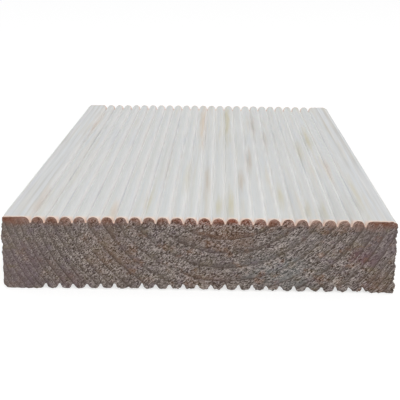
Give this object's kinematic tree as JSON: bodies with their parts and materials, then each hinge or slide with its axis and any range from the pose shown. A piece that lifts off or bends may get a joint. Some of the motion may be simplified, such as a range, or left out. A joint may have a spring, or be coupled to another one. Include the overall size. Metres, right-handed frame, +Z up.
{
  "type": "ribbed pine decking board",
  "caption": "Short length of pine decking board, planed to a flat section, with narrow round-topped ribs to walk on, shallower ribs underneath, eased long edges and rough-sawn square ends.",
  "frame": {"origin": "under the middle of the board, on the plane that it rests on", "axes": "+Y along the grain towards the far end, +X across the board, +Z up out of the ribbed walking face"},
  "size_m": [0.142, 0.26, 0.027],
  "materials": {
    "pine": "planed and ribbed, unfinished; both ends rough sawn"
  },
  "bodies": {
    "root": {"board": "pine"}
  },
  "joints": []
}
